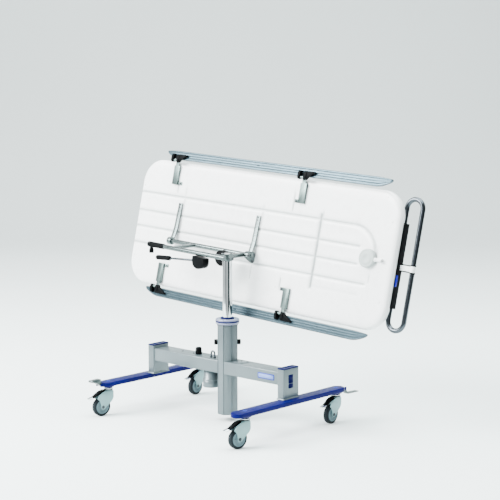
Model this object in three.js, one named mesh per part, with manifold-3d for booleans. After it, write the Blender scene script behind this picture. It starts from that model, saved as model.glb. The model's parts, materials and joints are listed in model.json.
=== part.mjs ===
// Height-adjustable shower stretcher trolley, in millimetres, +Z up.
//
// A blue and grey base on four braked castors carries a hydraulic column. The column's rod holds a
// frame that tilts end to end, and the frame's rear bar is the hinge on which the white tray flips up
// sideways. X runs along the tray, with the drain and the push handle at +X. Y runs across it. The
// tray is modelled lying flat and is then turned to its stored pose, flipped up past the vertical.

import * as THREE from 'three';
import { mergeVertices } from 'three/addons/utils/BufferGeometryUtils.js';
import Module from 'manifold-3d';

const wasm = await Module();
wasm.setup();

// ---------------------------------------------------------------------------------------------
// Driving dimensions
// ---------------------------------------------------------------------------------------------

const FIT = 0.3;                        // gap left between two solids that touch

// Castors
const WHEEL_RADIUS = 50;
const WHEEL_SIDES = 24;
const WHEEL_WIDTH = 30;
const AXLE_RADIUS = 6;
const CASTOR_TRAIL = 44;                // axle behind the swivel axis
const CASTOR_HEIGHT = 159;              // floor to the underside of the foot
const CASTOR_TURN = { front: THREE.MathUtils.degToRad(-12), rear: THREE.MathUtils.degToRad(3) };

// Base
const FOOT = { x: 494, width: 76, short: 400, long: 430, height: 23, socket: 5 };
const CASTOR_Y = { front: -346, rear: 350 };
const COLUMN = { x: 50, y: 0, across: 104, bottom: 36, top: 511, bore: 28 };
const BEAM = { bottom: 253, top: 321, wall: 4 };
const POST = { x: 469, width: 44, depth: 115, top: 336, cap: 5, wall: 4 };
const FLANGE = { radius: 62, height: 28, seal: 8 };

// Lift and tilt frame
const ROD = { radius: 25, bottom: 300, top: 841.7 };
const PIVOT_Z = 861;
const PITCH = THREE.MathUtils.degToRad(2.8);
const BAR_RADIUS = 12.5;
const NEAR_BAR_Y = -42;
const HINGE_Y = 132;
const PIVOT_TUBE_RADIUS = 12;

// Tray, in its own flat frame: x as above, y from the hinge line, z from the hinge line
const FLIP = THREE.MathUtils.degToRad(101);
const TRAY = { left: -834, right: 979, y: -89, width: 694, bottom: 35, top: 77, corner: 130 };
const WELL = { rim: 36, depth: 28, slope: 10 };
const ARM = { x: [-503, 76], width: 26 };
const BRACKET_X = [-570, 349];
const RAIL = { left: -651, right: 905, offset: 381, width: 50, bottom: 11, top: 33 };
const RAIL_PIN = { offset: 352, z: 3, radius: 3.5, barrel: 7 };
const HANDLE = { inner: 965, outer: 1059, length: 645, z: 90, radius: 12.5 };
const DRAIN = { x: 825, y: -91, radius: 48, depth: 22 };

// ---------------------------------------------------------------------------------------------
// Materials
// ---------------------------------------------------------------------------------------------

const finish = (color, roughness, metalness = 0) =>
  new THREE.MeshStandardMaterial({ color, roughness, metalness });

const greyPaint = finish(0x9aa8ab, 0.45, 0.3);
const bluePaint = finish(0x1420a8, 0.35);
const bluePlastic = finish(0x101a78, 0.5);
const chrome = finish(0xd8dcdf, 0.08, 1);
const stainless = finish(0xaab4b4, 0.3, 1);
const aluminium = finish(0x9fb0b8, 0.35, 1);
const whitePlastic = finish(0xf2f5f5, 0.25);
const greyPlastic = finish(0xc6cccb, 0.5);
const blackPlastic = finish(0x101214, 0.55);
const zinc = finish(0xa5cbcd, 0.4, 0.4);
const wheelRubber = finish(0x3c4448, 0.7);

// ---------------------------------------------------------------------------------------------
// Geometry helpers
// ---------------------------------------------------------------------------------------------

const ALONG_X = new THREE.Matrix4().makeBasis(
  new THREE.Vector3(0, 1, 0), new THREE.Vector3(0, 0, 1), new THREE.Vector3(1, 0, 0));
const ALONG_Y = new THREE.Matrix4().makeBasis(
  new THREE.Vector3(1, 0, 0), new THREE.Vector3(0, 0, 1), new THREE.Vector3(0, -1, 0));

// A box from its lowest corner to its highest corner.
function block(low, high) {
  const size = high.map((value, i) => value - low[i]);
  const middle = high.map((value, i) => (value + low[i]) / 2);
  return new THREE.BoxGeometry(...size).translate(...middle);
}

// A closed outline from a list of [u, v] points.
const outline = (points) => new THREE.Shape(points.map(([u, v]) => new THREE.Vector2(u, v)));

// A rectangle with round corners, centred on (u, v).
function roundRectangle(u, v, width, height, radius) {
  const [a, b] = [width / 2 - radius, height / 2 - radius];
  const shape = new THREE.Shape();
  shape.absarc(u + a, v + b, radius, 0, Math.PI / 2);
  shape.absarc(u - a, v + b, radius, Math.PI / 2, Math.PI);
  shape.absarc(u - a, v - b, radius, Math.PI, Math.PI * 1.5);
  shape.absarc(u + a, v - b, radius, Math.PI * 1.5, Math.PI * 2);
  return shape;
}

// A flat extrusion of an (x, y) shape, upwards from z0 to z1, with an optional chamfer.
function prism(shape, z0, z1, chamfer = 0, curveSegments = 8) {
  const geometry = new THREE.ExtrudeGeometry(shape, {
    depth: z1 - z0 - 2 * chamfer,
    bevelEnabled: chamfer > 0,
    bevelThickness: chamfer,
    bevelSize: chamfer,
    bevelOffset: -chamfer,
    bevelSegments: 1,
    curveSegments,
  });
  return geometry.translate(0, 0, z0 + chamfer);
}

// The same for a (y, z) shape along X, and for an (x, z) shape along Y.
const prismX = (shape, x0, x1, chamfer = 0, curveSegments = 8) =>
  prism(shape, x0, x1, chamfer, curveSegments).applyMatrix4(ALONG_X);
const prismY = (shape, y0, y1, chamfer = 0, curveSegments = 8) =>
  prism(shape, -y1, -y0, chamfer, curveSegments).applyMatrix4(ALONG_Y);

// Cylinders along X, Y and Z, each from one end to the other.
function rodZ(x, y, z0, z1, radius, sides = 24, topRadius = radius) {
  const geometry = new THREE.CylinderGeometry(topRadius, radius, z1 - z0, sides);
  return geometry.rotateX(Math.PI / 2).translate(x, y, (z0 + z1) / 2);
}
function rodX(x0, x1, y, z, radius, sides = 24) {
  const geometry = new THREE.CylinderGeometry(radius, radius, x1 - x0, sides);
  return geometry.rotateZ(-Math.PI / 2).translate((x0 + x1) / 2, y, z);
}
function rodY(x, y0, y1, z, radius, sides = 24) {
  const geometry = new THREE.CylinderGeometry(radius, radius, y1 - y0, sides);
  return geometry.translate(x, (y0 + y1) / 2, z);
}

// A body turned about the Z axis from a closed profile of [radius, height] points, anticlockwise.
function turned(profile, sides) {
  const points = [...profile, profile[0]].map(([r, h]) => new THREE.Vector2(r, h));
  return new THREE.LatheGeometry(points, sides).rotateX(Math.PI / 2);
}

// A geometry as a solid for joining and cutting, and back again.
function toSolid(geometry) {
  const bare = geometry.clone();
  bare.deleteAttribute('normal');
  bare.deleteAttribute('uv');
  const merged = mergeVertices(bare, 1e-3);
  return new wasm.Manifold(new wasm.Mesh({
    numProp: 3,
    vertProperties: new Float32Array(merged.attributes.position.array),
    triVerts: new Uint32Array(merged.index.array),
  }));
}
function toGeometry(solid) {
  const mesh = solid.getMesh();
  const geometry = new THREE.BufferGeometry();
  geometry.setAttribute('position', new THREE.BufferAttribute(mesh.vertProperties, 3));
  geometry.setIndex(new THREE.BufferAttribute(mesh.triVerts, 1));
  geometry.computeVertexNormals();
  return geometry;
}
const joined = (...geometries) =>
  toGeometry(geometries.map(toSolid).reduce((a, b) => a.add(b)));
const cut = (geometry, ...tools) =>
  toGeometry(tools.map(toSolid).reduce((a, b) => a.subtract(b), toSolid(geometry)));

// Adds a named sub-part to a group.
function part(group, name, material, geometry) {
  const mesh = new THREE.Mesh(geometry, material);
  mesh.name = name;
  group.add(mesh);
  return mesh;
}

// A group inside another, at a place.
function within(parent, x = 0, y = 0, z = 0) {
  const group = new THREE.Group();
  group.position.set(x, y, z);
  parent.add(group);
  return group;
}

// ---------------------------------------------------------------------------------------------
// Castors, in a frame with the swivel axis at the origin and the wheel trailing towards -Y
// ---------------------------------------------------------------------------------------------

function castorWheel() {
  const half = WHEEL_WIDTH / 2;
  const tread = WHEEL_RADIUS / Math.cos(Math.PI / WHEEL_SIDES);   // its flats are at the wheel radius
  const bore = AXLE_RADIUS + 0.6;
  const geometry = turned([
    [bore, -half], [38, -half], [45, -half - 0.5], [tread, -half + 4],
    [tread, half - 4], [45, half + 0.5], [38, half], [bore, half],
  ], WHEEL_SIDES);
  geometry.rotateZ(Math.PI / WHEEL_SIDES).rotateY(Math.PI / 2);
  return geometry.translate(0, -CASTOR_TRAIL, WHEEL_RADIUS);
}

function castorFork() {
  const [inside, outside] = [WHEEL_WIDTH / 2 + 3, WHEEL_WIDTH / 2 + 7];
  const [crownBottom, crownTop] = [104, 141];
  const cheek = new THREE.Shape();
  cheek.moveTo(21, crownTop - 4);
  cheek.lineTo(17, crownTop);
  cheek.lineTo(-24, crownTop);
  cheek.quadraticCurveTo(-56, 128, -78, 104);
  cheek.lineTo(-76, 94);
  cheek.quadraticCurveTo(-64, 88, -CASTOR_TRAIL - 14, 54);
  cheek.absarc(-CASTOR_TRAIL, WHEEL_RADIUS, 14, Math.PI, Math.PI * 1.8);
  cheek.quadraticCurveTo(10, 60, 21, 92);
  cheek.closePath();
  return joined(
    prismX(cheek, -outside, -inside, 0, 4),
    prismX(cheek, inside, outside, 0, 4),
    block([-outside, 8, crownBottom], [outside, 21, crownTop - 4]),
    block([-outside, -16, crownTop - 8], [outside, 17, crownTop]),
    rodX(-outside, outside, -CASTOR_TRAIL, WHEEL_RADIUS, AXLE_RADIUS, 12),
    rodZ(0, 0, crownTop - 1, CASTOR_HEIGHT - FOOT.socket - FIT, 20, 20),
  );
}

// The brake pedal sits between the fork's cheeks and is down when the wheel is braked.
function castorPedal() {
  const side = outline([[-22, 122], [-24, 144], [-52, 136], [-80, 119], [-98, 106], [-122, 101],
    [-121, 97], [-96, 101], [-79, 107], [-50, 120]]);
  return prismX(side, -14, 14, 1.5);
}

function addCastor(base, place, x, y, turn) {
  const castor = within(base, x, y);
  castor.rotation.z = turn;
  part(castor, `castor_fork_${place}`, zinc, castorFork());
  part(castor, `castor_wheel_${place}`, wheelRubber, castorWheel());
  part(castor, `castor_pedal_${place}`, blackPlastic, castorPedal());
}

// ---------------------------------------------------------------------------------------------
// Base
// ---------------------------------------------------------------------------------------------

const footTop = CASTOR_HEIGHT + FOOT.height;
const beamFront = COLUMN.y - COLUMN.across / 2;
const beamBack = COLUMN.y + COLUMN.across / 2;
const PEDAL_PIN = { y: 407, z: 170, radius: 5 };

// An octagon, with flats facing along X and Y, as a list of corners.
function octagon(x, y, across) {
  const radius = across / 2 / Math.cos(Math.PI / 8);
  return Array.from({ length: 8 }, (_, i) => {
    const angle = Math.PI / 8 + i * Math.PI / 4;
    return [x + radius * Math.cos(angle), y + radius * Math.sin(angle)];
  });
}

// The column's section has a groove along each corner.
function columnSection() {
  const depth = 4;
  const halfWidth = 3;
  const corners = octagon(0, 0, COLUMN.across);
  const points = corners.flatMap(([u, v], i) => {
    const inward = new THREE.Vector2(-u, -v).setLength(depth);
    const before = corners[(i + 7) % 8];
    const after = corners[(i + 1) % 8];
    const back = new THREE.Vector2(before[0] - u, before[1] - v).setLength(halfWidth);
    const on = new THREE.Vector2(after[0] - u, after[1] - v).setLength(halfWidth);
    return [
      [u + back.x, v + back.y], [u + back.x + inward.x, v + back.y + inward.y],
      [u + on.x + inward.x, v + on.y + inward.y], [u + on.x, v + on.y],
    ];
  });
  const shape = outline(points.map(([u, v]) => [u + COLUMN.x, v + COLUMN.y]));
  shape.holes.push(new THREE.Path().absarc(COLUMN.x, COLUMN.y, COLUMN.bore, 0, Math.PI * 2, true));
  return shape;
}

// A foot, with two lugs at its shorter end, which carries a foot pedal.
function foot(side, pedalEnd) {
  const x = side * FOOT.x;
  const middle = pedalEnd * (FOOT.short - FOOT.long) / 2;
  const bar = prism(roundRectangle(x, middle, FOOT.width, FOOT.short + FOOT.long, FOOT.width / 2 - 1),
    CASTOR_HEIGHT, footTop, 4, 5);
  const lugs = [-1, 1].map((s) => {
    const ys = [380, PEDAL_PIN.y + 7].map((y) => y * pedalEnd).sort((a, b) => a - b);
    const xs = [15, 20].map((w) => x + s * w).sort((a, b) => a - b);
    return block([xs[0], ys[0], PEDAL_PIN.z - 7], [xs[1], ys[1], PEDAL_PIN.z + 8]);
  });
  const sockets = Object.values(CASTOR_Y).map((y) => rodZ(x, y, CASTOR_HEIGHT - FOOT.socket,
    CASTOR_HEIGHT + 1, 32, 24));
  return joined(bar, ...lugs, ...sockets);
}

// A pedal that hinges between the foot's lugs. The left one stands up and the right one hangs down.
function footPedal(side, end) {
  const x = side * FOOT.x;
  const raised = [[403, 174], [411, 204], [470, 203], [474, 194], [436, 185], [411, 166]];
  const lowered = [[403, 168], [411, 172], [437, 141], [522, 138], [522, 134], [433, 136]];
  const profile = outline((side < 0 ? raised : lowered).map(([y, z]) => [end * y, z]));
  return joined(
    prismX(profile, x - 14, x + 14),
    rodX(x - 14.5, x + 14.5, end * PEDAL_PIN.y, PEDAL_PIN.z, PEDAL_PIN.radius, 12),
  );
}

// A hollow upright, standing on its foot.
function post(side) {
  const outer = roundRectangle(side * POST.x, COLUMN.y, POST.width, POST.depth, 5);
  outer.holes.push(roundRectangle(side * POST.x, COLUMN.y, POST.width - 2 * POST.wall,
    POST.depth - 2 * POST.wall, 3));
  return prism(outer, footTop + FIT, POST.top, 0, 3);
}

function postCap(side) {
  const rim = roundRectangle(side * POST.x, COLUMN.y, POST.width + 2, POST.depth + 2, 6);
  const plug = roundRectangle(side * POST.x, COLUMN.y, POST.width - 2 * POST.wall - 1,
    POST.depth - 2 * POST.wall - 1, 3);
  return joined(
    prism(rim, POST.top + FIT, POST.top + FIT + POST.cap, 1.5, 3),
    prism(plug, POST.top - 12, POST.top + FIT + 1, 0, 3),
  );
}

// Half of the hollow cross beam, from the column out to a post.
function beam(side) {
  const depth = beamBack - beamFront;
  const height = BEAM.top - BEAM.bottom;
  const middle = (BEAM.bottom + BEAM.top) / 2;
  const section = roundRectangle(COLUMN.y, middle, depth, height, 5);
  section.holes.push(roundRectangle(COLUMN.y, middle, depth - 2 * BEAM.wall,
    height - 2 * BEAM.wall, 2));
  const ends = [COLUMN.x, side * (POST.x - POST.width / 2 - FIT)].sort((a, b) => a - b);
  const tool = outline(octagon(COLUMN.x, COLUMN.y, COLUMN.across + 2 * FIT));
  return cut(prismX(section, ends[0], ends[1], 0, 3), prism(tool, BEAM.bottom - 5, BEAM.top + 5));
}

function flange() {
  const z0 = COLUMN.top + FIT;
  const ring = turned([
    [ROD.radius + 1, z0], [FLANGE.radius - 3, z0], [FLANGE.radius, z0 + 4],
    [FLANGE.radius, z0 + FLANGE.height - 3], [FLANGE.radius - 3, z0 + FLANGE.height],
    [ROD.radius + 1, z0 + FLANGE.height],
  ], 32);
  return ring.translate(COLUMN.x, COLUMN.y, 0);
}

function rodSeal() {
  const z0 = COLUMN.top + FLANGE.height + 2 * FIT;
  const ring = turned([
    [ROD.radius + 0.5, z0], [36, z0], [34, z0 + FLANGE.seal - 2], [30, z0 + FLANGE.seal],
    [ROD.radius + 0.5, z0 + FLANGE.seal],
  ], 32);
  return ring.translate(COLUMN.x, COLUMN.y, 0);
}

const PUMP = { x: -68, top: BEAM.bottom - FIT, bottom: 161, step: 203, radius: 45 };

function pump() {
  return turned([
    [0, PUMP.bottom], [PUMP.radius - 3, PUMP.bottom], [PUMP.radius, PUMP.bottom + 3],
    [PUMP.radius, PUMP.step], [PUMP.radius - 5, PUMP.step + 3], [PUMP.radius - 5, PUMP.top],
    [0, PUMP.top],
  ], 32).translate(PUMP.x, COLUMN.y, 0);
}

// A bent tube whose two ends stand on the beam.
function pumpFitting() {
  const z0 = BEAM.top + FIT;
  const [x, legs, rise] = [PUMP.x + 30, 12, 24];
  const path = new THREE.CurvePath();
  const at = (dx, z) => new THREE.Vector3(x + dx, COLUMN.y - 18, z);
  path.add(new THREE.LineCurve3(at(-legs, z0), at(-legs, z0 + rise)));
  path.add(new THREE.CubicBezierCurve3(at(-legs, z0 + rise), at(-legs, z0 + rise + 15),
    at(legs, z0 + rise + 15), at(legs, z0 + rise)));
  path.add(new THREE.LineCurve3(at(legs, z0 + rise), at(legs, z0)));
  const section = new THREE.Shape().absarc(0, 0, 4.5, 0, Math.PI * 2);
  return new THREE.ExtrudeGeometry(section, {
    steps: 14, curveSegments: 4, bevelEnabled: false, extrudePath: path });
}

function addBase(trolley) {
  const base = within(trolley);
  for (const [side, name, pedalEnd] of [[-1, 'left', -1], [1, 'right', 1]]) {
    part(base, `foot_${name}`, bluePaint, foot(side, pedalEnd));
    part(base, `foot_pedal_${name}`, stainless, footPedal(side, pedalEnd));
    part(base, `post_${name}`, greyPaint, post(side));
    part(base, `post_cap_${name}`, bluePlastic, postCap(side));
    part(base, `cross_beam_${name}`, greyPaint, beam(side));
  }
  part(base, 'column', greyPaint, prism(columnSection(), COLUMN.bottom, COLUMN.top));
  part(base, 'column_flange', greyPaint, flange());
  part(base, 'rod_seal', bluePlastic, rodSeal());
  part(base, 'pump_reservoir', greyPaint, pump());
  part(base, 'pump_fitting', chrome, pumpFitting());
  part(base, 'pump_valve_knob', blackPlastic,
    rodZ(-161, COLUMN.y, BEAM.top + FIT, BEAM.top + 38, 18, 24, 15));
  const face = COLUMN.across / 2;
  for (const [sideName, angle] of [['left', -135], ['right', 45]]) {
    const knob = rodX(face + FIT, face + 20, 0, 415, 13);
    part(base, `guide_knob_${sideName}`, blackPlastic,
      knob.rotateZ(THREE.MathUtils.degToRad(angle)).translate(COLUMN.x, COLUMN.y, 0));
  }
  for (const [sideName, side] of [['left', -1], ['right', 1]]) {
    for (const [endName, y] of Object.entries(CASTOR_Y)) {
      addCastor(base, `${endName}_${sideName}`, side * FOOT.x, y, CASTOR_TURN[endName]);
    }
  }
}

// ---------------------------------------------------------------------------------------------
// Lift rod and head
// ---------------------------------------------------------------------------------------------

function headBlock() {
  const body = prism(roundRectangle(COLUMN.x, COLUMN.y, 52, 52, 12), ROD.top + FIT, PIVOT_Z + 18, 2, 3);
  return cut(body, rodY(COLUMN.x, COLUMN.y - 40, COLUMN.y + 40, PIVOT_Z, PIVOT_TUBE_RADIUS + 0.5));
}

function addLift(trolley) {
  const lift = within(trolley);
  part(lift, 'lift_rod', chrome, rodZ(COLUMN.x, COLUMN.y, ROD.bottom, ROD.top, ROD.radius, 32));
  part(lift, 'head_block', stainless, headBlock());
}

// ---------------------------------------------------------------------------------------------
// Tilt frame, with z measured from the pivot
// ---------------------------------------------------------------------------------------------

const LEVER = { x: -98, z: -38, slope: THREE.MathUtils.degToRad(4.5) };

function releaseHousing() {
  const shield = new THREE.Shape();
  shield.moveTo(-46, -14);
  shield.lineTo(36, -14);
  shield.lineTo(38, -36);
  shield.quadraticCurveTo(34, -80, 4, -80);
  shield.quadraticCurveTo(-30, -76, -46, -14);
  const body = prismY(shield, NEAR_BAR_Y - 22, NEAR_BAR_Y + 22, 4, 6).translate(LEVER.x, 0, 0);
  const slot = block([LEVER.x - 60, NEAR_BAR_Y - 8, LEVER.z - 16],
    [LEVER.x + 10, NEAR_BAR_Y + 8, LEVER.z + 16]);
  return cut(body, slot);
}

// The stop plate at the hinge's drain end, a rounded triangle with three corners for its bolts.
function stopPlate() {
  const x0 = ARM.x[1] + 17;
  const shape = new THREE.Shape();
  shape.moveTo(HINGE_Y - 36, -16);
  shape.quadraticCurveTo(HINGE_Y - 40, 8, HINGE_Y - 18, 14);
  shape.lineTo(HINGE_Y + 18, 18);
  shape.quadraticCurveTo(HINGE_Y + 34, 16, HINGE_Y + 32, 0);
  shape.lineTo(HINGE_Y + 22, -34);
  shape.quadraticCurveTo(HINGE_Y + 12, -46, HINGE_Y - 4, -38);
  shape.closePath();
  return prismX(shape, x0, x0 + 6, 0, 4);
}

function addTiltFrame(trolley) {
  const pivot = within(trolley, COLUMN.x, 0, PIVOT_Z);
  pivot.rotation.y = PITCH;
  const frame = within(pivot, -COLUMN.x);
  const crossStart = NEAR_BAR_Y + BAR_RADIUS + FIT;
  const crossEnd = HINGE_Y - BAR_RADIUS - FIT;
  part(frame, 'near_bar', stainless, rodX(-373 + FIT, 73, NEAR_BAR_Y, 0, BAR_RADIUS));
  part(frame, 'hinge_bar', stainless, rodX(ARM.x[0] - 14, ARM.x[1] + 17 - FIT, HINGE_Y, 0, BAR_RADIUS));
  part(frame, 'end_crossbar', stainless, rodY(-315, crossStart, crossEnd, 0, 10));
  part(frame, 'pivot_tube', stainless, rodY(COLUMN.x, crossStart, crossEnd, 0, PIVOT_TUBE_RADIUS));
  part(frame, 'stop_plate', stainless, stopPlate());
  part(frame, 'end_grip', blackPlastic, rodX(-496, -373, NEAR_BAR_Y, 0, 15));
  part(frame, 'clamp_knob', blackPlastic, rodZ(-472, NEAR_BAR_Y, -46, -15 - FIT, 13, 20, 10));
  part(frame, 'release_housing', blackPlastic, releaseHousing());
  part(frame, 'tilt_gearbox', blackPlastic, rodY(-35, 30, 70, -23, 42, 32));
  const lever = within(frame, LEVER.x, NEAR_BAR_Y, LEVER.z);
  lever.rotation.y = -LEVER.slope;
  part(lever, 'release_lever', chrome, joined(rodX(-242, -6, 0, 0, 5, 12), rodY(0, -7, 7, 0, 8, 16)));
  part(lever, 'release_grip', blackPlastic, cut(rodX(-332, -229, 0, 0, 13, 20),
    rodX(-242 - FIT, -220, 0, 0, 5 + FIT, 12)));
  return frame;
}

// ---------------------------------------------------------------------------------------------
// Tray, lying flat, with y and z measured from the hinge line
// ---------------------------------------------------------------------------------------------

const trayMiddle = (TRAY.left + TRAY.right) / 2;
const trayLength = TRAY.right - TRAY.left;

// A rounded slab with a shallow well in its top. Each layer's outline steps in towards the edges.
function trayShell() {
  const slab = prism(roundRectangle(trayMiddle, TRAY.y, trayLength, TRAY.width, TRAY.corner),
    TRAY.bottom, TRAY.top, 9, 8);
  const inner = (inset) => roundRectangle(trayMiddle, TRAY.y, trayLength - 2 * inset,
    TRAY.width - 2 * inset, TRAY.corner - inset);
  const floor = TRAY.top - WELL.depth;
  const opening = prism(inner(WELL.rim), floor, TRAY.top + WELL.slope, WELL.slope, 8);
  const mouth = prism(inner(WELL.rim), floor + WELL.slope, TRAY.top + WELL.slope, 0, 8);
  return cut(slab, opening, mouth);
}

// A flat steel arm, with an eye that turns on the hinge bar.
function hingeArm(x) {
  const eye = new THREE.Shape().absarc(0, 0, 21, 0, Math.PI * 2);
  eye.holes.push(new THREE.Path().absarc(0, 0, BAR_RADIUS + 0.4, 0, Math.PI * 2, true));
  const top = TRAY.bottom - FIT;
  const strip = outline([[-13, 16], [-20, 9], [-72, 21], [-170, 27], [-212, top - 6], [-212, top],
    [-168, top], [-150, 33], [-70, 29], [-16, 17]]);
  const [x0, x1] = [x - ARM.width / 2, x + ARM.width / 2];
  return joined(prismX(eye, x0, x1), prismX(strip, x0, x1));
}

// A rail bracket on one side of the tray: plate, side flange, screw tab and pin barrel.
function railBracket(x, side, inward) {
  const top = TRAY.bottom - FIT;
  const [inner, outer] = [220, RAIL_PIN.offset - 8];
  const across = (low, high) => [TRAY.y + side * low, TRAY.y + side * high].sort((a, b) => a - b);
  const slab = (x0, x1, w0, w1, z0, z1) => {
    const [y0, y1] = across(w0, w1);
    return block([x0, y0, z0], [x1, y1, z1]);
  };
  const y = TRAY.y + side * RAIL_PIN.offset;
  const web = outline([[TRAY.y + side * outer, 22], [TRAY.y + side * (outer - 30), 22],
    [TRAY.y + side * (outer - 30), 26], [TRAY.y + side * outer, 26], [y + side * 2, 9],
    [y - side * 6, 5]]);
  const body = joined(
    slab(x - 20, x + 16, inner, outer - 20, 22, 26),
    slab(x + 16, x + 20, inner, outer - 20, 22, top),
    slab(x + Math.min(inward * 16, inward * 48), x + Math.max(inward * 16, inward * 48),
      inner, inner + 18, top - 4, top),
    slab(x - 20, x - 16, inner, inner + 18, 22, top),
    prismX(web, x - 11, x + 11),
    rodX(x - 11, x + 11, y, RAIL_PIN.z, RAIL_PIN.barrel, 16),
  );
  return cut(body, rodX(x - 20, x + 20, y, RAIL_PIN.z, RAIL_PIN.radius + 0.4, 16));
}

// A stadium-shaped loop of tube lying flat beyond the tray's end.
function pushHandle() {
  const bend = (HANDLE.outer - HANDLE.inner) / 2;
  const [x, reach] = [(HANDLE.inner + HANDLE.outer) / 2, HANDLE.length / 2 - bend];
  const path = new THREE.CurvePath();
  const steps = 6;
  const points = [1, -1].flatMap((end) => Array.from({ length: steps + 1 }, (_, i) => {
    const angle = (end > 0 ? 0 : Math.PI) + i * Math.PI / steps;
    return new THREE.Vector3(x + bend * Math.cos(angle), TRAY.y + end * reach + bend * Math.sin(angle),
      HANDLE.z);
  }));
  points.forEach((point, i) => path.add(new THREE.LineCurve3(point, points[(i + 1) % points.length])));
  const rings = points.map((point, i) => ({
    point,
    along: points[(i + 1) % points.length].clone().sub(points.at(i - 1)).normalize(),
  }));
  return loopTube(rings, HANDLE.radius, 12);
}

// A closed tube through rings that all lie in one level plane.
function loopTube(rings, radius, sides) {
  const up = new THREE.Vector3(0, 0, 1);
  const positions = rings.flatMap(({ point, along }) => {
    const outward = along.clone().cross(up);
    return Array.from({ length: sides }, (_, j) => {
      const angle = j * 2 * Math.PI / sides;
      return point.clone().addScaledVector(outward, radius * Math.cos(angle))
        .addScaledVector(up, radius * Math.sin(angle)).toArray();
    }).flat();
  });
  const index = rings.flatMap((_, i) => Array.from({ length: sides }, (__, j) => {
    const next = (i + 1) % rings.length;
    const [a, b] = [i * sides + j, i * sides + (j + 1) % sides];
    const [c, d] = [next * sides + j, next * sides + (j + 1) % sides];
    return [a, c, b, b, c, d];
  }).flat());
  const geometry = new THREE.BufferGeometry();
  geometry.setAttribute('position', new THREE.Float32BufferAttribute(positions, 3));
  geometry.setIndex(index);
  geometry.computeVertexNormals();
  return geometry;
}

// The strap on the tray's end face that hooks over the handle's inner leg.
function handleMount() {
  const top = HANDLE.z + HANDLE.radius;
  const side = outline([[TRAY.right + FIT, TRAY.top - 12], [TRAY.right + 6, TRAY.top - 12],
    [TRAY.right + 6, top + 3.5], [HANDLE.inner - 8, top + 3.5], [HANDLE.inner - 8, top + FIT],
    [TRAY.right + FIT, top + FIT]]);
  return prismY(side, TRAY.y - 200, TRAY.y + 220);
}

function sideRail(side) {
  const middle = (RAIL.left + RAIL.right) / 2;
  const plan = roundRectangle(middle, TRAY.y + side * RAIL.offset, RAIL.right - RAIL.left,
    RAIL.width, RAIL.width / 2 - 1);
  return prism(plan, RAIL.bottom, RAIL.top, 3, 5);
}

// The black cheeks that carry a rail on its bracket's pin, with a catch that runs on under the rail.
function railCheeks(x, side) {
  const y = TRAY.y + side * RAIL_PIN.offset;
  const underRail = RAIL.bottom - FIT;
  const cheek = outline([[y - side * 12, 4], [y - side * 9, -5], [y, -9], [y + side * 30, -6],
    [y + side * 36, 0], [y + side * 36, underRail], [y + side * 2.5, underRail],
    [y + side * 2.5, 18], [y - side * 8, 18]]);
  const ys = [y + side * 14, y + side * 34].sort((a, b) => a - b);
  return joined(
    prismX(cheek, x - 27, x - 12),
    prismX(cheek, x + 12, x + 32),
    rodX(x - 26, x + 30, y, RAIL_PIN.z, RAIL_PIN.radius, 16),
    block([x - 20, ys[0], 2], [x + 82, ys[1], underRail]),
  );
}

function addTray(frame) {
  const tray = within(frame, 0, HINGE_Y, 0);
  tray.rotation.x = -FLIP;
  part(tray, 'tray_shell', whitePlastic, trayShell());
  part(tray, 'hinge_arm_left', stainless, hingeArm(ARM.x[0]));
  part(tray, 'hinge_arm_right', stainless, hingeArm(ARM.x[1]));
  part(tray, 'drain_cup', greyPlastic,
    rodZ(DRAIN.x, DRAIN.y, TRAY.bottom - DRAIN.depth, TRAY.bottom - FIT, DRAIN.radius, 32));
  part(tray, 'drain_spout', whitePlastic,
    rodX(DRAIN.x + DRAIN.radius + FIT, DRAIN.x + DRAIN.radius + 45, DRAIN.y, TRAY.bottom - 11, 10));
  part(tray, 'push_handle', stainless, pushHandle());
  part(tray, 'handle_mount', blackPlastic, handleMount());
  for (const [side, sideName] of [[-1, 'upper'], [1, 'lower']]) {
    part(tray, `side_rail_${sideName}`, aluminium, sideRail(side));
    for (const [i, endName] of ['left', 'right'].entries()) {
      const [x, inward] = [BRACKET_X[i], i ? -1 : 1];
      part(tray, `rail_bracket_${sideName}_${endName}`, stainless, railBracket(x, side, inward));
      part(tray, `rail_cheeks_${sideName}_${endName}`, blackPlastic, railCheeks(x, side));
    }
  }
}

// ---------------------------------------------------------------------------------------------
// The trolley, with its origin at the bottom centre of its box
// ---------------------------------------------------------------------------------------------

const trolley = new THREE.Group();
addBase(trolley);
addLift(trolley);
addTray(addTiltFrame(trolley));

trolley.updateMatrixWorld(true);
const box = new THREE.Box3().setFromObject(trolley, true);
const centre = box.getCenter(new THREE.Vector3());
trolley.position.set(-centre.x, -centre.y, -box.min.z);

export default trolley;
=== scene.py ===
"""Looks for the height-adjustable shower stretcher trolley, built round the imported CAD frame.

Pieces are drawn in millimetres in the local frame of what they belong to (base, castor, tilt frame
or tray) and placed by that frame's matrix. Those frames, and most sizes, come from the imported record
and the CAD nodes.
"""

import json
import math
from collections import namedtuple

import bmesh
import bpy
from mathutils import Matrix, Vector


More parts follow.
